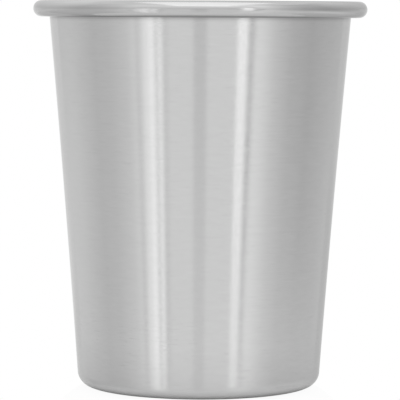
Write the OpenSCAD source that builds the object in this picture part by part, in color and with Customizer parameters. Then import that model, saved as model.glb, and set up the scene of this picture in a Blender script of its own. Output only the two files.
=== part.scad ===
// Stainless julep cup: a tapered sheet wall with a wired, rolled rim, closed by a pan let into its foot.
// Millimetres, +Z up. The origin is the centre of the foot ring, on the surface that the cup stands on.

/* [Cup] */
// Height over all, from the table to the top of the rolled rim
cup_h = 102; // [80:1:130]
// Outside diameter of the rolled rim
rim_d = 88.2; // [80:0.2:100]
// Diameter of the wall's outer face, carried straight down to the table
foot_d = 63.8; // [56:0.2:68]
// How far the wall is drawn in at mid-height from a straight taper
wall_waist = 0.24; // [0:0.02:1.5]
// Thickness of the wall's sheet
sheet_t = 0.7; // [0.5:0.05:1]

/* [Rolled rim] */
// Diameter of the wire inside the roll
wire_d = 2.8; // [2:0.1:4]
// Clearance between the wire and the sheet rolled round it
wire_gap = 0.05; // [0.02:0.01:0.2]
// Flat on top of the lip, between the turn out of the wall and the turn round the wire
lip_flat = 0.5; // [0.2:0.1:1.5]
// Gap between the tucked-in edge of the roll and the wall's outer face
tuck_gap = 0.25; // [0.1:0.05:0.6]

/* [Foot] */
// Outside radius of the corner between the wall and the foot ring
corner_r = 3.9; // [3:0.1:7]
// Flat width of the foot ring, inside the corner
foot_ring_w = 5; // [3:0.5:10]

/* [Base pan] */
// Thickness of the pan's sheet
pan_t = 0.7; // [0.5:0.05:1]
// Height of the pan's rim above the table
pan_h = 9; // [8:0.5:20]
// Rise of the pan's floor from the foot ring to its middle
floor_rise = 1.4; // [0:0.1:4]
// Clearance between the pan and the foot that it nests in, filled by the braze
joint_gap = 0.05; // [0.02:0.01:0.1]
// Height of the braze fillet above the pan's rim
braze_h = 1.8; // [0.8:0.1:3]

/* [Hidden] */
$fn = 180;

// Degrees in a step of a turn, and steps along the wall, across the domed floor and up the braze
turn_step = 6;
wall_steps = 12;
floor_steps = 16;
fillet_steps = 6;

// The roll: outside radius of the bead, inside radius of the sheet, and the centres of its two turns
bead_r = wire_d / 2 + wire_gap + sheet_t;
curl_r = bead_r - sheet_t;
wire_c = [rim_d / 2 - bead_r, cup_h - bead_r];
lip_c = wire_c - [lip_flat, 0];

// The wall's outer face runs from the table up to wall_top, where the lip's turn takes over
top_lean = atan((lip_c[0] - curl_r - foot_d / 2 + 4 * wall_waist) / lip_c[1]);
wall_top = lip_c + curl_r * [-cos(top_lean), sin(top_lean)];

// Radius of the wall's outer face at height z: a straight taper less a shallow parabola
function wall_r(z) =
    let (s = z / wall_top[1])
    foot_d / 2 + (wall_top[0] - foot_d / 2) * s - 4 * wall_waist * s * (1 - s);

// Lean of the wall from upright at height z
function lean(z) =
    let (s = z / wall_top[1])
    atan((wall_top[0] - foot_d / 2 - 4 * wall_waist * (1 - 2 * s)) / wall_top[1]);

// Point at a depth square in from the wall's outer face, at height z
function wall_point(z, depth) = [wall_r(z) - depth * cos(lean(z)), z + depth * sin(lean(z))];

// Points up the wall, strictly between two heights, at one depth in from its outer face
function wall_run(z0, z1, depth) =
    [for (i = [1 : wall_steps - 1]) wall_point(z0 + (z1 - z0) * i / wall_steps, depth)];

// Points of a turn of radius r about c, from angle a0 to angle a1
function turn(c, r, a0, a1) =
    let (steps = ceil(abs(a1 - a0) / turn_step))
    [for (i = [0 : steps]) let (a = a0 + (a1 - a0) * i / steps) c + r * [cos(a), sin(a)]];

// The same points in the other order
function flip(points) = [for (i = [len(points) - 1 : -1 : 0]) points[i]];

// The foot corner is tangent to the table and to the wall
foot_lean = lean(0);
corner_top = corner_r * (1 - sin(foot_lean));
corner_c = [wall_r(corner_top) - corner_r * cos(foot_lean), corner_r];
foot_hole_r = corner_c[0] - foot_ring_w;

// The roll ends where its outside comes within tuck_gap of the leaning wall
tuck_angle = -acos((tuck_gap - curl_r) / bead_r) - top_lean;

// One side of the wall's sheet, at a depth in from its outer face: foot ring, corner, wall and roll.
// The outer face of the wall is the inside of the roll, so the roll's radius grows with the depth.
function sheet_side(depth) =
    concat(
        [[foot_hole_r, depth]],
        turn(corner_c, corner_r - depth, -90, -foot_lean),
        wall_run(corner_top, wall_top[1], depth),
        turn(lip_c, curl_r + depth, 180 - top_lean, 90),
        turn(wire_c, curl_r + depth, 90, -90),
        turn(lip_c, curl_r + depth, -90, tuck_angle)
    );

// Depth of the pan's outer face behind the wall's outer face
pan_depth = sheet_t + joint_gap;

// The pan's floor at radius r: flat on the foot ring, then an even rise to the middle
function floor_z(r) = floor_rise * (1 + cos(180 * r / foot_hole_r)) / 2;

// One side of the pan, at a depth behind the wall's outer face: floor, corner and upstand
function pan_side(depth) =
    concat(
        [for (i = [0 : floor_steps]) let (r = foot_hole_r * i / floor_steps) [r, depth + floor_z(r)]],
        turn(corner_c, corner_r - depth, -90, -foot_lean),
        wall_run(corner_top, pan_h, depth),
        [wall_point(pan_h, depth)]
    );

// Hollow face of the braze fillet, from the pan's inner edge up to the wall: a curve of second degree
// through both ends, drawn towards the foot of the fillet
function fillet_face(from, foot, to) =
    [for (i = [0 : fillet_steps])
        let (s = i / fillet_steps)
        (1 - s) * (1 - s) * from + s * (1 - s) * (from + to) / 2 + s * (1 - s) * foot + s * s * to];

module cup_wall() {
    color("silver")
    rotate_extrude()
    polygon(concat(sheet_side(0), flip(sheet_side(sheet_t))));
}

module rim_wire() {
    color("darkgray")
    rotate_extrude()
    translate(wire_c)
    circle(d = wire_d);
}

module base_pan() {
    color("gainsboro")
    rotate_extrude()
    polygon(concat(pan_side(pan_depth), flip(pan_side(pan_depth + pan_t))));
}

module braze_ring() {
    pan_edge = wall_point(pan_h, pan_depth + pan_t);
    fillet_foot = wall_point(pan_h, sheet_t);
    wall_edge = wall_point(pan_h + braze_h, sheet_t);
    color("khaki")
    rotate_extrude()
    polygon(concat([fillet_foot], fillet_face(pan_edge, fillet_foot, wall_edge)));
}

cup_wall();
rim_wire();
base_pan();
braze_ring();
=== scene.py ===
"""Studio scene of a brushed steel julep cup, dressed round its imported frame.

The cup is four pieces: the sheet wall with its rolled rim, the wire inside the roll, the base pan let
into the foot and the braze that seals it. Each is turned from a profile, so each is a mesh of revolution.
"""

import logging
import math
from dataclasses import dataclass
from enum import Enum
from typing import ClassVar, Mapping, Optional, Sequence, Union

import bpy
import numpy as np
from mathutils import Euler, Matrix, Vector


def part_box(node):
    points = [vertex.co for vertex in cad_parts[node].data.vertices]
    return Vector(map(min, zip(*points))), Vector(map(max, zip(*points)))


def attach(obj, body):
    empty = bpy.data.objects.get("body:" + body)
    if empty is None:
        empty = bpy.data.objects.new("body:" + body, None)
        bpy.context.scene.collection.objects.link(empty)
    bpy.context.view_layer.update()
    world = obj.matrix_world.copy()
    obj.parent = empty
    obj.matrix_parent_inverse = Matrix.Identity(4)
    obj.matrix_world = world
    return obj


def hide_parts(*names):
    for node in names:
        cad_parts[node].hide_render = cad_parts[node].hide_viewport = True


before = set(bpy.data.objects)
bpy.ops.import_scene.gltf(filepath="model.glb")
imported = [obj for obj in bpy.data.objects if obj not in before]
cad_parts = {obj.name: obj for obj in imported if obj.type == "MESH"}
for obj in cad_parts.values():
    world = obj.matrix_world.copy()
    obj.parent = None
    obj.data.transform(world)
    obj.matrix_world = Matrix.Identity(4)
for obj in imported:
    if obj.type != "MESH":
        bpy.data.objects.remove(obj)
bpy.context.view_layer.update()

LOG = logging.getLogger("julep_cup")
BODY = "root"
MM = 0.001
FULL_TURN = 2 * math.pi
RIGHT_ANGLE = math.pi / 2

# Azimuth of the studio's back, in degrees to either hand of the camera's side
BACK = 180.0

# Middle level of a noise
NOISE_MIDDLE = 0.5

# The tent's ramps hold levels as shares of this, so that they stay under 1
RAMP_TOP = 2.0

# Steps in each rounded corner of a sheet's cut edge
EDGE_STEPS = 4


class Slot(Enum):
    """Material slots of the record, one to a piece."""

    WALL = "brushed_wall"
    WIRE = "drawn_wire"
    BASE = "pressed_base"
    BRAZE = "braze"


class Socket:
    """A node's output that takes part in Python sums: each operator adds one Math node."""

    def __init__(self, graph: "Graph", node: bpy.types.Node, output: Union[str, int]) -> None:
        """Holds one output of a node.

        Args:
            graph: The graph that new nodes go into.
            node: The node.
            output: The output's name or number.
        """
        self.graph = graph
        self.node = node
        self.output = output

    @property
    def link(self) -> bpy.types.NodeSocket:
        """The output socket itself."""
        return self.node.outputs[self.output]

    def maths(self, operation: str, first: "Operand", second: "Operand") -> "Socket":
        """Adds one Math node.

        Args:
            operation: The node's operation, such as ADD.
            first: Its first value.
            second: Its second value.

        Returns:
            The node's result.
        """
        return self.graph.add("ShaderNodeMath", {"operation": operation}, {0: first, 1: second})

    def __add__(self, other: "Operand") -> "Socket":
        """self + other."""
        return self.maths("ADD", self, other)

    def __radd__(self, other: "Operand") -> "Socket":
        """other + self."""
        return self.maths("ADD", other, self)

    def __sub__(self, other: "Operand") -> "Socket":
        """self - other."""
        return self.maths("SUBTRACT", self, other)

    def __rsub__(self, other: "Operand") -> "Socket":
        """other - self."""
        return self.maths("SUBTRACT", other, self)

    def __mul__(self, other: "Operand") -> "Socket":
        """self * other."""
        return self.maths("MULTIPLY", self, other)

    def __rmul__(self, other: "Operand") -> "Socket":
        """other * self."""
        return self.maths("MULTIPLY", other, self)

    def maximum(self, other: "Operand") -> "Socket":
        """The larger of self and other."""
        return self.maths("MAXIMUM", self, other)

    def arctan2(self, other: "Operand") -> "Socket":
        """The angle whose tangent is self over other."""
        return self.maths("ARCTAN2", self, other)

    def sibling(self, name: str) -> "Socket":
        """Another output of the same node."""
        return Socket(self.graph, self.node, name)


Operand = Union[Socket, float]
Tint = tuple[float, float, float]
Colour = tuple[float, float, float, float]
Stops = Sequence[tuple[float, float]]


def grey(level: float) -> Colour:
    """A neutral colour of one linear level."""
    return (level, level, level, 1.0)


class Graph:
    """A node tree with one way to add a node."""

    def __init__(self, tree: bpy.types.NodeTree) -> None:
        """Empties a node tree.

        Args:
            tree: The tree of a material or a world.
        """
        self.tree = tree
        tree.nodes.clear()

    def add(
        self,
        kind: str,
        settings: Optional[Mapping[str, object]] = None,
        sockets: Optional[Mapping[Union[str, int], object]] = None,
        output: Union[str, int] = 0,
    ) -> Socket:
        """Adds a node, sets it, then fills or links its inputs.

        Args:
            kind: The node's type, such as ShaderNodeTexNoise.
            settings: Its properties, or a ramp's stops, which are set before its sockets.
            sockets: A value or a Socket for each input, by name or number.
            output: The output that is wanted.

        Returns:
            That output.
        """
        node = self.tree.nodes.new(kind)
        for name, value in (settings or {}).items():
            if name == "stops":
                self.set_stops(node.color_ramp, value)
            else:
                setattr(node, name, value)
        for name, value in (sockets or {}).items():
            if isinstance(value, Socket):
                self.tree.links.new(value.link, node.inputs[name])
            else:
                node.inputs[name].default_value = value
        return Socket(self, node, output)

    @staticmethod
    def set_stops(ramp: bpy.types.ColorRamp, stops: Stops) -> None:
        """Gives a new ramp its stops.

        Args:
            ramp: The ramp, which comes with two stops.
            stops: Position and grey level of each stop, in order.
        """
        for position, _ in stops[len(ramp.elements):]:
            ramp.elements.new(position)
        for element, (position, level) in zip(ramp.elements, stops):
            element.position = position
            element.color = grey(level)

    def ramp(self, share: Socket, stops: Stops) -> Socket:
        """The level of a ramp with these stops, read at a share from 0 to 1."""
        return self.add("ShaderNodeValToRGB", {"stops": stops}, {"Fac": share})

    def level_along(self, place: Socket, stops: Stops) -> Socket:
        """Reads a level off stops that are set out along a length.

        Args:
            place: Place along the length.
            stops: Places and levels, in order. Past the first and last, the level stays.

        Returns:
            The level.
        """
        start, span = stops[0][0], stops[-1][0] - stops[0][0]
        return self.ramp((place - start) * (1 / span), [((at - start) / span, level) for at, level in stops])

    def tinted(self, tint: Tint, tone: Socket) -> Socket:
        """A tint times a tone."""
        return self.add("ShaderNodeVectorMath", {"operation": "SCALE"}, {0: tint, "Scale": tone})

    def light(self, colour: Union[Socket, Colour], strength: float) -> Socket:
        """A shader that gives off light."""
        return self.add("ShaderNodeEmission", {}, {"Color": colour, "Strength": strength})

    def show(self, surface: Socket) -> None:
        """Makes a shader the material's surface."""
        self.add("ShaderNodeOutputMaterial", {}, {"Surface": surface})


def new_material(name: str) -> tuple[bpy.types.Material, Graph]:
    """Starts a material.

    Args:
        name: Its name.

    Returns:
        The material and its empty graph.
    """
    material = bpy.data.materials.new(name)
    material.use_nodes = True
    return material, Graph(material.node_tree)


def new_object(name: str, data: bpy.types.ID) -> bpy.types.Object:
    """Puts a mesh, a camera or a lamp in the scene.

    Args:
        name: Name of the object.
        data: The mesh, camera or lamp.

    Returns:
        The object, at the origin.
    """
    thing = bpy.data.objects.new(name, data)
    bpy.context.scene.collection.objects.link(thing)
    return thing


def smooth_mesh(name: str, points: np.ndarray, faces: Sequence[Sequence[int]]) -> bpy.types.Mesh:
    """Makes a smooth-shaded mesh.

    Args:
        name: Name of the mesh.
        points: Vertices, one to a row.
        faces: Corners of each face.

    Returns:
        The mesh.
    """
    mesh = bpy.data.meshes.new(name)
    mesh.from_pydata(points.tolist(), [], faces)
    mesh.polygons.foreach_set("use_smooth", np.ones(len(faces), dtype=bool))
    return mesh


@dataclass(frozen=True)
class WearAndShade:
    """A place along a section: the share of the tint that shows there, which paints shade into the colour,
    with added roughness and scuff depth from wear.
    """

    run: float
    # Painted shade: darkens the colour where shade or dark reflections fall, not a stain.
    tint: float
    dull: float = 0.0
    scuff: float = 0.0


# A stretch of wear and painted shade along a section.
WearAndShadeStretch = Sequence[WearAndShade]


@dataclass(frozen=True)
class SteelFinish:
    """Steel brushed round the cup: long fine lines that spread a highlight up and down, not sideways.

    Widths are in metres. A value that ends in round says how fast lines change on the way round the cup.
    """

    name: str
    tint: Tint
    roughness: float
    anisotropy: float
    spread_turn: float = 0.25
    line: float = 0.12 * MM
    streak: float = 0.4 * MM
    band: float = 1.8 * MM
    streak_share: float = 0.5
    lines_round: float = 2.6
    streaks_round: float = 7.0
    line_detail: float = 2.0
    line_roughness: float = 0.6
    tone_depth: float = 0.1
    score: float = 0.22 * MM
    scores_round: float = 9.0
    score_start: float = 0.6
    score_full: float = 0.75
    score_depth: float = 0.05
    roughness_depth: float = 0.05
    cloud: float = 26 * MM
    cloud_detail: float = 1.0
    cloud_depth: float = 0.02
    scratch: float = 0.008 * MM
    slant: float = 0.8

    def lines(self, graph: Graph, along: Socket, way: Socket, width: float, around: float) -> Socket:
        """Noise drawn out round the cup.

        The noise is read at the unit vector from the axis, which changes slowly round the cup, and at the
        distance along the profile over the line's width, which changes fast.

        Args:
            graph: The material's graph.
            along: Distance along the profile, in metres.
            way: Unit vector from the axis.
            width: Width of a line, in metres.
            around: How fast the noise changes round the cup.

        Returns:
            The noise, from 0 to 1.
        """
        east = graph.add("ShaderNodeSeparateXYZ", {}, {"Vector": way}, output="X")
        x, y = east * around, east.sibling("Y") * around
        place = graph.add("ShaderNodeCombineXYZ", {}, {"X": x, "Y": y, "Z": along * (1 / width)})
        return graph.add(
            "ShaderNodeTexNoise",
            {},
            {"Vector": place, "Scale": 1.0, "Detail": self.line_detail, "Roughness": self.line_roughness},
        )

    def material(self, *stretches: WearAndShadeStretch) -> bpy.types.Material:
        """Makes the material.

        Args:
            stretches: Stretches of the section with wear and painted shade, each a list of places in order
                along it.

        Returns:
            A metal whose tone, roughness and bump follow the brushed lines, with a faint cloud over them and
            the stretches' painted shade.
        """
        material, graph = new_material(self.name)
        place = graph.add("ShaderNodeTexCoord", output="Object")
        flat = graph.add("ShaderNodeVectorMath", {"operation": "MULTIPLY"}, {0: place, 1: (1.0, 1.0, 0.0)})
        way = graph.add("ShaderNodeVectorMath", {"operation": "NORMALIZE"}, {0: flat})
        chart = graph.add("ShaderNodeUVMap", {"uv_map": Turned.CHART})
        along = graph.add("ShaderNodeSeparateXYZ", {}, {"Vector": chart}, output="Y")
        fine = self.lines(graph, along, way, self.line, self.lines_round)
        streak = self.lines(graph, along, way, self.streak, self.streaks_round)
        broad = self.lines(graph, along, way, self.band, self.streaks_round)
        score = self.lines(graph, along, way, self.score, self.scores_round)
        cloud = graph.add(
            "ShaderNodeTexNoise", {}, {"Vector": place, "Scale": 1 / self.cloud, "Detail": self.cloud_detail}
        )
        brush = streak * self.streak_share + broad * (1 - self.streak_share) - NOISE_MIDDLE
        smear = cloud - NOISE_MIDDLE
        cut = graph.ramp(score, ((self.score_start, 0.0), (self.score_full, 1.0)))
        tone = brush * self.tone_depth + smear * self.cloud_depth - cut * self.score_depth + 1.0
        roughness = brush * self.roughness_depth + smear * self.cloud_depth + self.roughness
        for stretch in stretches:
            tone = tone - cut * graph.level_along(along, [(shaded_wear.run, shaded_wear.scuff) for shaded_wear in stretch])
            # Painted shade: each stretch's tint share darkens the colour where shade falls.
            tone = tone * graph.level_along(along, [(shaded_wear.run, shaded_wear.tint) for shaded_wear in stretch])
            roughness = roughness + graph.level_along(along, [(shaded_wear.run, shaded_wear.dull) for shaded_wear in stretch])
        normal = graph.add("ShaderNodeBump", {}, {"Strength": 1.0, "Distance": self.scratch, "Height": fine})
        surface = graph.add(
            "ShaderNodeBsdfPrincipled",
            {},
            {
                "Base Color": graph.tinted(self.tint, tone),
                "Metallic": 1.0,
                "Roughness": roughness,
                "Anisotropic": self.anisotropy,
                "Anisotropic Rotation": self.spread_turn,
                "Specular Tint": grey(self.slant),
                "Normal": normal,
            },
        )
        graph.show(surface)
        return material


@dataclass(frozen=True)
class BrazeFinish:
    """Silver braze: a smooth pale yellow metal that has run and rippled as it set."""

    name: str = "silver braze"
    tint: Tint = (0.66, 0.62, 0.52)
    tone_depth: float = 0.12
    roughness: float = 0.37
    roughness_depth: float = 0.2
    ripple: float = 2.5 * MM
    ripple_detail: float = 2.0
    ripple_depth: float = 0.08 * MM
    ripple_strength: float = 0.4

    def material(self) -> bpy.types.Material:
        """Makes the material.

        Returns:
            A metal whose tone, roughness and bump follow soft ripples.
        """
        material, graph = new_material(self.name)
        place = graph.add("ShaderNodeTexCoord", output="Object")
        ripple = graph.add(
            "ShaderNodeTexNoise",
            {},
            {"Vector": place, "Scale": 1 / self.ripple, "Detail": self.ripple_detail},
        )
        swell = ripple - NOISE_MIDDLE
        normal = graph.add(
            "ShaderNodeBump",
            {},
            {"Strength": self.ripple_strength, "Distance": self.ripple_depth, "Height": ripple},
        )
        surface = graph.add(
            "ShaderNodeBsdfPrincipled",
            {},
            {
                "Base Color": graph.tinted(self.tint, swell * self.tone_depth + 1.0),
                "Metallic": 1.0,
                "Roughness": swell * self.roughness_depth + self.roughness,
                "Normal": normal,
            },
        )
        graph.show(surface)
        return material


def distances(path: np.ndarray) -> np.ndarray:
    """Distance along a path to each of its points: the running sum of its steps."""
    return np.concatenate(([0.0], np.cumsum(np.linalg.norm(np.diff(path, axis=0), axis=1))))


def arc(centre: np.ndarray, radius: float, start: float, end: float, steps: int) -> np.ndarray:
    """Points on a circle: centre plus radius times (cos, sin) of evenly spaced angles.

    Args:
        centre: Centre, as (radius from the axis, height).
        radius: Radius of the circle.
        start: First angle, in radians.
        end: Last angle, in radians.
        steps: Steps between them.

    Returns:
        Points, one to a row.
    """
    angle = np.linspace(start, end, steps + 1)
    return centre + radius * np.column_stack((np.cos(angle), np.sin(angle)))


def cut_edge(start: np.ndarray, end: np.ndarray, radius: float) -> np.ndarray:
    """A sheet's cut edge with both corners rounded, on the right hand of the way from start to end.

    Each corner is a quarter circle: it sets out along the side and ends along the edge.

    Args:
        start: Last point of one side of the sheet.
        end: First point of the other side.
        radius: Radius of the corners.

    Returns:
        The points between start and end, EDGE_STEPS to a corner.
    """
    across = (end - start) / np.linalg.norm(end - start)
    out = np.array([across[1], -across[0]])
    angle = np.linspace(0, RIGHT_ANGLE, EDGE_STEPS + 1)[1:, None]
    rise = radius * np.sin(angle) * out
    run = radius * (1 - np.cos(angle)) * across
    return np.vstack((start + rise + run, (end + rise - run)[::-1]))


@dataclass(frozen=True)
class CupSizes:
    """Sizes of the cup in metres. Height and rim come from the frame, and the rest are the design's."""

    height: float
    rim_radius: float
    foot_radius: float = 31.9 * MM
    waist: float = 0.24 * MM
    sheet: float = 0.7 * MM
    wire_radius: float = 1.4 * MM
    wire_gap: float = 0.05 * MM
    lip_flat: float = 0.5 * MM
    tuck_gap: float = 0.25 * MM
    corner: float = 3.9 * MM
    foot_ring: float = 5 * MM
    pan_sheet: float = 0.7 * MM
    pan_height: float = 9 * MM
    floor_rise: float = 1.4 * MM
    joint_gap: float = 0.05 * MM
    braze_height: float = 1.8 * MM
    edge: float = 0.12 * MM

    @classmethod
    def from_frame(cls) -> "CupSizes":
        """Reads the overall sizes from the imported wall."""
        low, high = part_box("cup_wall")
        return cls(height=high.z, rim_radius=min(-low.x, -low.y, high.x, high.y))

    @property
    def bead_radius(self) -> float:
        """Outside radius of the rolled bead."""
        return self.wire_radius + self.wire_gap + self.sheet

    @property
    def curl_radius(self) -> float:
        """Inside radius of the roll."""
        return self.bead_radius - self.sheet

    @property
    def wire_centre(self) -> np.ndarray:
        """Centre of the wire in the profile."""
        return np.array([self.rim_radius - self.bead_radius, self.height - self.bead_radius])

    @property
    def lip_centre(self) -> np.ndarray:
        """Centre of the lip's turn out of the wall."""
        return self.wire_centre - np.array([self.lip_flat, 0])

    @property
    def top_lean(self) -> float:
        """Lean of the wall where the lip begins."""
        spread = self.lip_centre[0] - self.curl_radius - self.foot_radius + 4 * self.waist
        return math.atan(spread / self.lip_centre[1])

    @property
    def wall_top(self) -> np.ndarray:
        """Top of the wall's outer face, where the lip begins."""
        lean = self.top_lean
        return self.lip_centre + self.curl_radius * np.array([-math.cos(lean), math.sin(lean)])

    @property
    def foot_lean(self) -> float:
        """Lean of the wall at the table."""
        return float(self.lean(np.zeros(1))[0])

    @property
    def corner_top(self) -> float:
        """Height at which the foot corner becomes the wall."""
        return self.corner * (1 - math.sin(self.foot_lean))

    @property
    def corner_centre(self) -> np.ndarray:
        """Centre of the foot corner."""
        face = float(self.wall_radius(np.array([self.corner_top]))[0])
        return np.array([face - self.corner * math.cos(self.foot_lean), self.corner])

    @property
    def foot_hole(self) -> float:
        """Radius of the hole inside the foot ring."""
        return float(self.corner_centre[0]) - self.foot_ring

    @property
    def pan_depth(self) -> float:
        """Depth of the pan's outer face behind the wall's outer face."""
        return self.sheet + self.joint_gap

    def wall_radius(self, z: np.ndarray) -> np.ndarray:
        """Radius of the wall's outer face: a straight taper less a parabola, waist deep half way up.

        Args:
            z: Heights.

        Returns:
            The radius at each height.
        """
        share = z / self.wall_top[1]
        taper = (self.wall_top[0] - self.foot_radius) * share
        return self.foot_radius + taper - 4 * self.waist * share * (1 - share)

    def lean(self, z: np.ndarray) -> np.ndarray:
        """Lean of the wall from upright: the arctangent of the slope of its radius.

        Args:
            z: Heights.

        Returns:
            The lean at each height, in radians.
        """
        share = z / self.wall_top[1]
        spread = self.wall_top[0] - self.foot_radius - 4 * self.waist * (1 - 2 * share)
        return np.arctan(spread / self.wall_top[1])

    def wall_points(self, z: np.ndarray, depth: float) -> np.ndarray:
        """Points at heights z on the wall's outer face, moved square in by a depth."""
        lean = self.lean(z)
        return np.column_stack((self.wall_radius(z) - depth * np.cos(lean), z + depth * np.sin(lean)))

    def wall_run(self, low: float, high: float, depth: float, steps: int) -> np.ndarray:
        """Points up the wall, strictly between two heights and closer together near both.

        Heights follow half a cosine wave, so a long face never meets a short turn.

        Args:
            low: Lower height.
            high: Upper height.
            depth: Depth behind the wall's outer face.
            steps: Steps between the heights.

        Returns:
            Points, one to a row.
        """
        wave = (1 - np.cos(np.linspace(0, math.pi, steps + 1)[1:-1])) / 2
        return self.wall_points(low + (high - low) * wave, depth)


class Turned:
    """A piece turned from a profile about the cup's axis."""

    CHART = "around_along"
    AROUND = 288

    def __init__(self, name: str, profile: np.ndarray) -> None:
        """Holds a profile.

        Args:
            name: Name of the piece.
            profile: Points (radius, height), with the solid on the left hand. It is a closed loop, unless
                it starts and ends on the axis.
        """
        self.name = name
        self.profile = profile

    def build(self) -> bpy.types.Object:
        """Turns the profile into a mesh.

        A grid vertex is (r cos a, r sin a, z) for each profile point and each of AROUND angles. A point on
        the axis is one vertex, with a fan of triangles round it. The chart's first coordinate is the share
        of a turn, and its second is the distance along the profile in metres.

        Returns:
            The new object, at the origin.
        """
        poles = bool(self.profile[0, 0] == 0)
        along = distances(self.profile if poles else np.vstack((self.profile, self.profile[:1])))
        rows = len(self.profile)
        angle = np.arange(self.AROUND) / self.AROUND * FULL_TURN
        radius = self.profile[:, 0]
        grid = np.empty((self.AROUND, rows, 3))
        grid[..., 0] = np.cos(angle)[:, None] * radius
        grid[..., 1] = np.sin(angle)[:, None] * radius
        grid[..., 2] = self.profile[:, 1]
        first, last = (1, rows - 2) if poles else (0, rows)
        i, j = np.meshgrid(np.arange(self.AROUND), np.arange(first, last), indexing="ij")
        corner_i = np.stack((i, i + 1, i + 1, i), axis=-1).reshape(-1, 4)
        corner_j = np.stack((j, j, j + 1, j + 1), axis=-1).reshape(-1, 4)
        quads = (corner_i % self.AROUND) * rows + corner_j % rows
        chart = np.stack((corner_i / self.AROUND, along[corner_j]), axis=-1).reshape(-1, 2)
        fans = np.empty((0, 3), dtype=int)
        if poles:
            fans, fan_chart = self.fans(along)
            chart = np.vstack((chart, fan_chart))
        return self.to_object(grid.reshape(-1, 3), quads, fans, chart)

    def fans(self, along: np.ndarray) -> tuple[np.ndarray, np.ndarray]:
        """Triangles between each end of the profile, on the axis, and the ring of points next to it.

        Args:
            along: Distance along the profile to each of its points.

        Returns:
            Corners of the triangles as grid vertices, and their chart coordinates, one row to a corner.
        """
        rows = len(self.profile)
        top = rows - 2
        here = np.arange(self.AROUND)
        after = (here + 1) % self.AROUND
        low = np.column_stack((np.zeros_like(here), after * rows + 1, here * rows + 1))
        high = np.column_stack((here * rows + top, after * rows + top, np.full_like(here, rows - 1)))
        left, middle, right = ((here + share) / self.AROUND for share in (0, 0.5, 1))
        start, low_run, high_run, end = (np.full(self.AROUND, along[row]) for row in (0, 1, -2, -1))
        low_chart = np.stack((middle, start, right, low_run, left, low_run), axis=-1)
        high_chart = np.stack((left, high_run, right, high_run, middle, end), axis=-1)
        return np.vstack((low, high)), np.vstack((low_chart, high_chart)).reshape(-1, 2)

    def to_object(
        self, points: np.ndarray, quads: np.ndarray, fans: np.ndarray, chart: np.ndarray
    ) -> bpy.types.Object:
        """Puts the arrays into a mesh object.

        Args:
            points: Vertices, one to a row.
            quads: Corners of the four-sided faces.
            fans: Corners of the triangles, which come after the quads.
            chart: Chart coordinates, one row to a face corner.

        Returns:
            The new object, smooth shaded.
        """
        used, new = np.unique(np.concatenate((quads.ravel(), fans.ravel())), return_inverse=True)
        quads, fans = new[: quads.size].reshape(-1, 4), new[quads.size:].reshape(-1, 3)
        mesh = smooth_mesh(self.name, points[used], quads.tolist() + fans.tolist())
        layer = mesh.uv_layers.new(name=self.CHART)
        layer.uv.foreach_set("vector", chart.astype(np.float32).ravel())
        mesh.validate()
        mesh.update()
        return new_object(self.name, mesh)


@dataclass
class CupPart:
    """One piece of the cup: its profile, its finish and the CAD node that it stands for."""

    node: ClassVar[str]
    slot: ClassVar[Slot]
    sizes: CupSizes

    def profile(self) -> np.ndarray:
        """Points of the piece's section, with the solid on the left hand."""
        raise NotImplementedError

    def finish(self) -> bpy.types.Material:
        """The piece's material."""
        raise NotImplementedError

    def build(self) -> bpy.types.Object:
        """Turns the piece, dresses it and sets it in its node's place.

        Returns:
            The finished object.
        """
        piece = Turned(f"{self.node}_turned", self.profile()).build()
        piece.data.materials.append(self.finish())
        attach(piece, BODY)
        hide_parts(self.node)
        LOG.info("%s: %d faces", piece.name, len(piece.data.polygons))
        return piece


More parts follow.
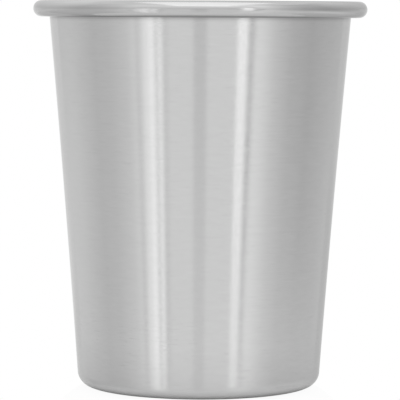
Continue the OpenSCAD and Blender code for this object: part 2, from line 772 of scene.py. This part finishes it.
@dataclass
class CupWall(CupPart):
    """The sheet wall: foot ring, foot corner, taper, and the rim rolled out over its wire."""

    node: ClassVar[str] = "cup_wall"
    slot: ClassVar[Slot] = Slot.WALL
    corner_steps: int = 20
    wall_steps: int = 40
    lip_steps: int = 20
    roll_steps: int = 40
    tuck_steps: int = 10

    def side(self, depth: float) -> np.ndarray:
        """One side of the sheet, from the foot ring's inner edge to the tucked-in edge of the roll.

        The wall's outer face is the inside of the roll, so the roll's radius grows with the depth.

        Args:
            depth: Depth behind the wall's outer face.

        Returns:
            Points, one to a row, that stop short of both cut edges by the rounding.
        """
        s = self.sizes
        roll = s.curl_radius + depth
        tuck = -math.acos((s.tuck_gap - s.curl_radius) / s.bead_radius) - s.top_lean + s.edge / roll
        return np.vstack((
            [[s.foot_hole + s.edge, depth]],
            arc(s.corner_centre, s.corner - depth, -RIGHT_ANGLE, -s.foot_lean, self.corner_steps),
            s.wall_run(s.corner_top, float(s.wall_top[1]), depth, self.wall_steps),
            arc(s.lip_centre, roll, math.pi - s.top_lean, RIGHT_ANGLE, self.lip_steps),
            arc(s.wire_centre, roll, RIGHT_ANGLE, -RIGHT_ANGLE, self.roll_steps),
            arc(s.lip_centre, roll, -RIGHT_ANGLE, tuck, self.tuck_steps),
        ))

    def profile(self) -> np.ndarray:
        """Joins both sides of the sheet by their cut edges.

        Returns:
            Outer side, tucked-in edge, inner side and foot edge, in one loop.
        """
        outer, inner = self.side(0.0), self.side(self.sizes.sheet)[::-1]
        tuck_edge = cut_edge(outer[-1], inner[0], self.sizes.edge)
        foot_edge = cut_edge(inner[-1], outer[0], self.sizes.edge)
        return np.vstack((outer, tuck_edge, inner, foot_edge))

    def wear_and_painted_shade(self) -> tuple[WearAndShadeStretch, WearAndShadeStretch]:
        """Wear and painted shade along the section: painted shade darkens the foot ring, the foot corner,
        the wall under the roll and the roll itself, the foot corner and the inside past the lip are rougher,
        and the foot corner has coarser brushing.

        Returns:
            A stretch from the foot edge up the corner, and one from under the roll, round it to the inside.
        """
        s = self.sizes
        outer = self.side(0.0)
        run = distances(self.profile())
        corner = 1 + self.corner_steps
        wall = slice(corner, corner + self.wall_steps)
        table, corner_top = run[1], run[corner]
        bend = corner_top - table
        under_roll = float(np.interp(s.height - 2 * s.bead_radius, outer[wall, 1], run[wall]))
        roll_start = len(outer) + 2 * EDGE_STEPS
        roll = run[roll_start]
        lip = run[roll_start + self.tuck_steps + self.roll_steps]
        # Painted shade: these tints darken the foot ring and foot corner where the floor's contact shadow
        # and dark reflections fall; the roughness and scuffs are wear.
        foot = (
            WearAndShade(0.0, tint=0.85, scuff=0.04),
            WearAndShade(table + 0.05 * bend, tint=0.7, scuff=0.04),
            WearAndShade(table + 0.25 * bend, tint=0.8, dull=0.05, scuff=0.04),
            WearAndShade(table + 0.45 * bend, tint=0.87, dull=0.1, scuff=0.04),
            WearAndShade(table + 0.75 * bend, tint=0.88, dull=0.1, scuff=0.04),
            WearAndShade(corner_top, tint=0.92, dull=0.1, scuff=0.04),
            WearAndShade(corner_top + 3 * MM, tint=0.96, dull=0.08, scuff=0.05),
            WearAndShade(corner_top + 10 * MM, tint=1.0, scuff=0.05),
            WearAndShade(corner_top + 22 * MM, tint=1.0),
        )
        # Painted shade: these tints darken the wall under the roll and the roll's underside and face where
        # its shadow and dark reflections fall; the roughness past the lip is wear.
        rim = (
            WearAndShade(under_roll - 1.2 * MM, tint=1.0),
            WearAndShade(under_roll - 0.7 * MM, tint=0.93),
            WearAndShade(under_roll - 0.3 * MM, tint=0.77),
            WearAndShade(under_roll, tint=0.71),
            WearAndShade(roll + 2 * MM, tint=0.68),
            WearAndShade(roll + 3.1 * MM, tint=0.64),
            WearAndShade(roll + 3.7 * MM, tint=0.78),
            WearAndShade(roll + 4.3 * MM, tint=0.87),
            WearAndShade(roll + 5.3 * MM, tint=0.88),
            WearAndShade(lip, tint=0.86),
            WearAndShade(lip + 5 * MM, tint=1.0, dull=0.09),
        )
        return foot, rim

    def finish(self) -> bpy.types.Material:
        """Fine brushing round the wall, with painted shade at the foot corner and round the roll."""
        steel = SteelFinish("brushed wall steel", tint=(0.62, 0.62, 0.62), roughness=0.11, anisotropy=1.0)
        return steel.material(*self.wear_and_painted_shade())


@dataclass
class RimWire(CupPart):
    """The round wire inside the roll."""

    node: ClassVar[str] = "rim_wire"
    slot: ClassVar[Slot] = Slot.WIRE
    steps: int = 32

    def profile(self) -> np.ndarray:
        """A circle."""
        return arc(self.sizes.wire_centre, self.sizes.wire_radius, 0, FULL_TURN, self.steps)[:-1]

    def finish(self) -> bpy.types.Material:
        """Drawn wire, with lines along its length."""
        steel = SteelFinish("drawn wire steel", tint=(0.6, 0.6, 0.6), roughness=0.35, anisotropy=0.6)
        return steel.material()


@dataclass
class BasePan(CupPart):
    """The pressed pan that closes the foot: domed floor, corner and upstand."""

    node: ClassVar[str] = "base_pan"
    slot: ClassVar[Slot] = Slot.BASE
    floor_steps: int = 40
    corner_steps: int = 20
    upstand_steps: int = 10
    turned_line: float = 0.3 * MM

    def side(self, depth: float) -> np.ndarray:
        """One side of the pan, from the axis to its upper edge.

        The floor rises from the foot ring to the middle by half a cosine wave.

        Args:
            depth: Depth behind the wall's outer face.

        Returns:
            Points, one to a row, that stop short of the cut edge by the rounding.
        """
        s = self.sizes
        radius = np.linspace(0, s.foot_hole, self.floor_steps + 1)
        rise = s.floor_rise * (1 + np.cos(math.pi * radius / s.foot_hole)) / 2
        end = np.array([s.pan_height - s.edge])
        return np.vstack((
            np.column_stack((radius, depth + rise)),
            arc(s.corner_centre, s.corner - depth, -RIGHT_ANGLE, -s.foot_lean, self.corner_steps),
            s.wall_run(s.corner_top, float(end[0]), depth, self.upstand_steps),
            s.wall_points(end, depth),
        ))

    def profile(self) -> np.ndarray:
        """Joins both sides of the pan by its cut edge.

        Returns:
            Underside, cut edge and inside, from the axis back to the axis.
        """
        s = self.sizes
        under, inside = self.side(s.pan_depth), self.side(s.pan_depth + s.pan_sheet)[::-1]
        return np.vstack((under, cut_edge(under[-1], inside[0], s.edge), inside))

    def finish(self) -> bpy.types.Material:
        """Satin turning, with lines round the axis."""
        steel = SteelFinish(
            "turned base steel", tint=(0.6, 0.6, 0.6), roughness=0.34, anisotropy=0.9, line=self.turned_line
        )
        return steel.material()


@dataclass
class BrazeRing(CupPart):
    """The fillet of braze between the pan's upper edge and the wall."""

    node: ClassVar[str] = "braze_ring"
    slot: ClassVar[Slot] = Slot.BRAZE
    face_steps: int = 8
    side_steps: int = 3

    def profile(self) -> np.ndarray:
        """A triangle with one hollow face, a curve of second degree through both ends, drawn to the foot.

        Returns:
            Points down the hollow face, along the pan's edge and up the wall.
        """
        s = self.sizes
        low, high = np.array([s.pan_height]), np.array([s.pan_height + s.braze_height])
        pan_edge = s.wall_points(low, s.pan_depth + s.pan_sheet)
        foot = s.wall_points(low, s.sheet)
        top = s.wall_points(high, s.sheet)
        share = np.linspace(0, 1, self.face_steps + 1)[:, None]
        pull = share * (1 - share)
        face = (1 - share) ** 2 * top + pull * (top + pan_edge) / 2 + pull * foot + share**2 * pan_edge
        step = np.linspace(0, 1, self.side_steps + 1)[1:-1, None]
        return np.vstack((
            face,
            pan_edge + (foot - pan_edge) * step,
            foot,
            foot + (top - foot) * step,
        ))

    def finish(self) -> bpy.types.Material:
        """Pale silver braze."""
        return BrazeFinish().material()


@dataclass(frozen=True)
class PhotoCamera:
    """The camera at the photograph's place: at rim height, a long lens, tipped a little down."""

    distance: float = 722.7 * MM
    height: float = 99.9 * MM
    aside: float = 0.175 * MM
    tip: float = 0.06995
    roll: float = 0.0053
    focal_pixels: float = 2728.7
    image_pixels: float = 400
    sensor: float = 36.0
    nearest: float = 10 * MM

    def build(self) -> bpy.types.Object:
        """Makes the camera and looks through it.

        Returns:
            The camera object.
        """
        data = bpy.data.cameras.new("photo camera")
        data.sensor_fit = "HORIZONTAL"
        data.sensor_width = self.sensor
        data.lens = self.sensor * self.focal_pixels / self.image_pixels
        data.clip_start = self.nearest
        camera = new_object("photo camera", data)
        level = Euler((RIGHT_ANGLE - self.tip, 0, 0)).to_matrix()
        turned = level @ Matrix.Rotation(self.roll, 3, "Z")
        camera.matrix_world = Matrix.Translation((self.aside, -self.distance, self.height)) @ turned.to_4x4()
        bpy.context.scene.camera = camera
        return camera


@dataclass(frozen=True)
class Card:
    """A card that stands round the cup: a soft box if it is light, a flag if it is dark.

    The wall shows it as an upright band, at half its azimuth. Cards at the back, low down or high up show
    in the wall's edges, the foot corner and the bead. The azimuth is taken at the cup's foot, and the lean
    is how many degrees of azimuth a card gains with each metre of height.
    """

    name: str
    azimuth: float
    width: float
    level: float
    low: float = -2.1
    high: float = 0.2
    lean: float = 0.0


@dataclass(frozen=True)
class Studio:
    """A pale floor that falls away round the cup, in a drum-shaped tent with cards, under a white sky.

    Azimuths are in degrees from the camera's side, with the right hand positive. Levels are linear, and
    1 is white. The tent and its cards light the cup and show in the metal, but not behind the cup. A tone
    is an azimuth, with the tent's level at the upper and at the lower height. The rise gives heights and
    what the tone is multiplied by there. The floor's white is how much of it, by distance from the middle
    of the foot, is an even white for the camera or for the metal, and the rest is lit and shaded.
    """

    tent_radius: float = 2.0
    tent_low: float = -2.2
    tent_high: float = 2.4
    upper_height: float = -0.32
    lower_height: float = -0.55
    tones: tuple[tuple[float, float, float], ...] = (
        (-180, 0.9, 0.74),
        (-158, 1.0, 0.7),
        (-120, 0.88, 0.73),
        (-90, 0.71, 0.71),
        (-75, 0.73, 0.75),
        (-58, 0.84, 0.87),
        (-53, 0.93, 0.93),
        (-46, 0.96, 0.94),
        (24, 0.96, 0.94),
        (36, 0.97, 0.97),
        (41, 1.06, 1.06),
        (46, 1.05, 1.05),
        (50, 1.0, 1.0),
        (60, 0.81, 0.91),
        (75, 0.65, 0.86),
        (95, 0.59, 0.91),
        (120, 0.71, 0.88),
        (150, 0.88, 0.8),
        (180, 0.85, 0.74),
    )
    rise: Stops = (
        (-0.18, 1.0),
        (0.0, 0.87),
        (0.25, 0.87),
        (0.9, 1.05),
        (1.6, 1.2),
    )
    cards: tuple[Card, ...] = (
        Card("left_outer_box", -41.6, 4.4, 1.13, lean=4),
        Card("left_soft_box", -36.6, 5.4, 1.28, lean=4),
        Card("left_slit", -32.7, 1.8, 0.86, lean=4),
        Card("left_fill", -30.0, 3.6, 1.23, lean=4),
        Card("left_flag", -49.3, 2.0, 0.82),
        Card("left_gap", -25.7, 4.0, 0.85, lean=4),
        Card("camera_flag", 0, 10, 0.76, low=-0.36),
        Card("camera_lower_flag", 0, 10, 0.87, high=-0.36),
        Card("right_soft_box", 33.3, 6.2, 1.52, low=-0.47, lean=4),
        Card("right_lower_box", 32.1, 3.4, 1.05, high=-0.47),
        Card("right_slit", 33.2, 1.0, 0.6, low=-0.47, lean=4),
        Card("right_flag", 41.6, 3.2, 0.62, low=-0.42, lean=9),
        Card("right_lower_flag", 37.0, 2.8, 0.96, high=-0.42),
        Card("right_rim_box", 31.8, 7.2, 1.62, low=0.0, high=0.6),
        Card("right_low_flag", 110, 50, 0.76, high=-0.9),
        Card("left_low_box", -158, 42, 0.9, low=-1.2, high=-0.45),
        Card("back_soft_box", 180, 20, 1.2, high=-0.68),
        Card("right_edge_flag", 160, 40, 0.76, low=-0.42, high=-0.1),
        Card("left_edge_flag", -160, 40, 0.88, low=-0.42, high=-0.2),
        Card("right_edge_box", 160, 40, 0.82, low=-0.06, high=0.15),
        Card("left_edge_box", -160, 40, 0.94, low=-0.06, high=0.15),
    )
    card_gap: float = 0.02
    widest_step: float = 3.0
    fewest_steps: int = 4
    floor_middle: float = 1 * MM
    floor_flat: float = 28 * MM
    floor_bend: float = 10 * MM
    floor_reach: float = 1.9
    floor_slope: float = 1.2
    floor_gap: float = 0.02 * MM
    bend_steps: int = 10
    slope_steps: int = 12
    floor_tone: float = 0.8
    camera_white: Stops = ((27.9 * MM, 0.0), (28.6 * MM, 0.94), (80 * MM, 1.0))
    # Painted light: inside the foot ring, under the cup where there is only shade, the floor glows white for
    # the metal, so the base's underside shows a painted reflection.
    mirror_white: Stops = (
        (26.5 * MM, 0.9),
        (27.5 * MM, 0.0),
        (28.2 * MM, 0.0),
        (36 * MM, 0.75),
        (90 * MM, 0.9),
    )
    sky: float = 1.0
    lamp_size: tuple[float, float] = (1.0, 1.65)
    lamp_place: tuple[float, float, float] = (0.05, -0.6, 1.2)
    lamp_level: float = 0.5

    def sheet(
        self, name: str, rows: Sequence[np.ndarray], material: bpy.types.Material
    ) -> bpy.types.Object:
        """Joins rows of points into a smooth sheet that isn't part of the cup.

        Args:
            name: Its name.
            rows: Equal rows of points, from the outside in or from the bottom up.
            material: What it is made of.

        Returns:
            The sheet object.
        """
        count = len(rows[0])
        i, j = np.meshgrid(np.arange(count - 1), np.arange(len(rows) - 1), indexing="ij")
        first = (j * count + i).ravel()
        faces = np.column_stack((first, first + 1, first + count + 1, first + count))
        sheet = new_object(name, smooth_mesh(name, np.vstack(rows), faces.tolist()))
        sheet.data.materials.append(material)
        return sheet

    def ring(self, radius: float, height: float, start: float = -BACK, end: float = BACK) -> np.ndarray:
        """Points round the cup: radius times (sine, minus cosine) of the azimuth, at one height.

        Args:
            radius: Distance from the axis.
            height: Height of the points.
            start: First azimuth, in degrees.
            end: Last azimuth, in degrees.

        Returns:
            Points, one to a row.
        """
        steps = max(self.fewest_steps, math.ceil((end - start) / self.widest_step))
        angle = np.radians(np.linspace(start, end, steps + 1))
        way = np.column_stack((np.sin(angle), -np.cos(angle), np.full_like(angle, height / radius)))
        return way * radius

    def tent(self) -> None:
        """Makes the tent. Its level is the tone at its azimuth, between both heights, times the rise."""
        material, graph = new_material("tent cloth")
        place = graph.add("ShaderNodeTexCoord", output="Object")
        x = graph.add("ShaderNodeSeparateXYZ", {}, {"Vector": place}, output="X")
        azimuth = x.arctan2(x.sibling("Y") * -1.0) * math.degrees(1)
        upper = graph.level_along(azimuth, [(at, level / RAMP_TOP) for at, level, _ in self.tones])
        lower = graph.level_along(azimuth, [(at, level / RAMP_TOP) for at, _, level in self.tones])
        depth = graph.add(
            "ShaderNodeMapRange",
            {},
            {"Value": x.sibling("Z"), "From Min": self.upper_height, "From Max": self.lower_height},
        )
        rise = graph.level_along(x.sibling("Z"), [(z, level / RAMP_TOP) for z, level in self.rise])
        tone = (upper + depth * (lower - upper)) * rise
        graph.show(graph.light(tone * RAMP_TOP**2, 1.0))
        rows = [self.ring(self.tent_radius, z) for z in (self.tent_low, self.tent_high)]
        self.sheet("tent", rows, material).visible_camera = False

    def stand_cards(self) -> None:
        """Stands the cards just inside the tent, each a little in front of the one before."""
        for place, card in enumerate(self.cards, 1):
            radius = self.tent_radius - place * self.card_gap
            left, right = card.azimuth - card.width / 2, card.azimuth + card.width / 2
            ends = [(z, card.lean * z) for z in (card.low, card.high)]
            rows = [self.ring(radius, z, left + lean, right + lean) for z, lean in ends]
            material, graph = new_material(card.name)
            graph.show(graph.light(grey(1.0), card.level))
            self.sheet(card.name, rows, material).visible_camera = False

    def floor_rows(self) -> list[np.ndarray]:
        """Shapes the floor like a sheet draped over a small round stand.

        It is flat under the cup, bends down by a parabola and then falls at an even slope.

        Returns:
            Rings of points, from the outside in.
        """
        bend = self.floor_flat + np.linspace(0, self.floor_bend, self.bend_steps + 1)
        far = np.geomspace(bend[-1], self.floor_reach, self.slope_steps + 1)[1:]
        radius = np.concatenate(([self.floor_middle, self.floor_flat / 2], bend, far))
        past = np.clip(radius - self.floor_flat, 0, None)
        curve = np.where(past < self.floor_bend, past**2 / (2 * self.floor_bend), past - self.floor_bend / 2)
        height = -self.floor_gap - self.floor_slope * curve
        return [self.ring(r, z) for r, z in zip(radius[::-1], height[::-1])]

    def floor_cloth(self) -> bpy.types.Material:
        """Makes the floor's material.

        Returns:
            A pale matt cloth that holds the cup's shadow close to the foot, turns white further out for the
            camera and for the metal, glows white for the metal under the cup as painted light, and is clear
            for a camera below it.
        """
        material, graph = new_material("floor")
        matt = graph.add("ShaderNodeBsdfDiffuse", {}, {"Color": grey(self.floor_tone)})
        camera = graph.add("ShaderNodeLightPath", output="Is Camera Ray")
        mirror = camera.sibling("Is Glossy Ray").maximum(camera.sibling("Is Transmission Ray"))
        white = graph.light(grey(1.0), 1.0)
        place = graph.add("ShaderNodeTexCoord", output="Object")
        away = graph.add("ShaderNodeVectorMath", {"operation": "LENGTH"}, {0: place}, output="Value")
        camera_share = camera * graph.level_along(away, self.camera_white)
        mirror_share = mirror * graph.level_along(away, self.mirror_white)
        pale = graph.add("ShaderNodeMixShader", {}, {0: camera_share + mirror_share, 1: matt, 2: white})
        below = graph.add("ShaderNodeNewGeometry", output="Backfacing") * camera
        clear = graph.add("ShaderNodeBsdfTransparent")
        graph.show(graph.add("ShaderNodeMixShader", {}, {0: below, 1: pale, 2: clear}))
        return material

    def world(self) -> None:
        """Makes the sky an even white."""
        world = bpy.data.worlds.new("white sky")
        world.use_nodes = True
        graph = Graph(world.node_tree)
        sky = graph.add("ShaderNodeBackground", {}, {"Color": grey(1.0), "Strength": self.sky})
        graph.add("ShaderNodeOutputWorld", {}, {"Surface": sky})
        bpy.context.scene.world = world

    def top_light(self) -> None:
        """Hangs a soft box over the camera's side, which lights the top of the bead."""
        data = bpy.data.lights.new("top soft box", "AREA")
        data.shape = "RECTANGLE"
        data.size, data.size_y = self.lamp_size
        data.energy = math.pi * data.size * data.size_y * self.lamp_level
        lamp = new_object("top soft box", data)
        lamp.matrix_world = Matrix.Translation(self.lamp_place)
        lamp.visible_camera = False

    def build(self) -> None:
        """Sets up the floor, the tent, the cards, the sky and the lamp."""
        self.sheet("floor", self.floor_rows(), self.floor_cloth())
        self.tent()
        self.stand_cards()
        self.world()
        self.top_light()


def main() -> None:
    """Builds the camera, the studio and the four pieces of the cup."""
    logging.basicConfig(level=logging.INFO, format="%(name)s: %(message)s")
    bpy.context.scene.view_settings.view_transform = "Standard"
    PhotoCamera().build()
    Studio().build()
    sizes = CupSizes.from_frame()
    for part in (CupWall(sizes), RimWire(sizes), BasePan(sizes), BrazeRing(sizes)):
        part.build()


if __name__ == "__main__":
    main()
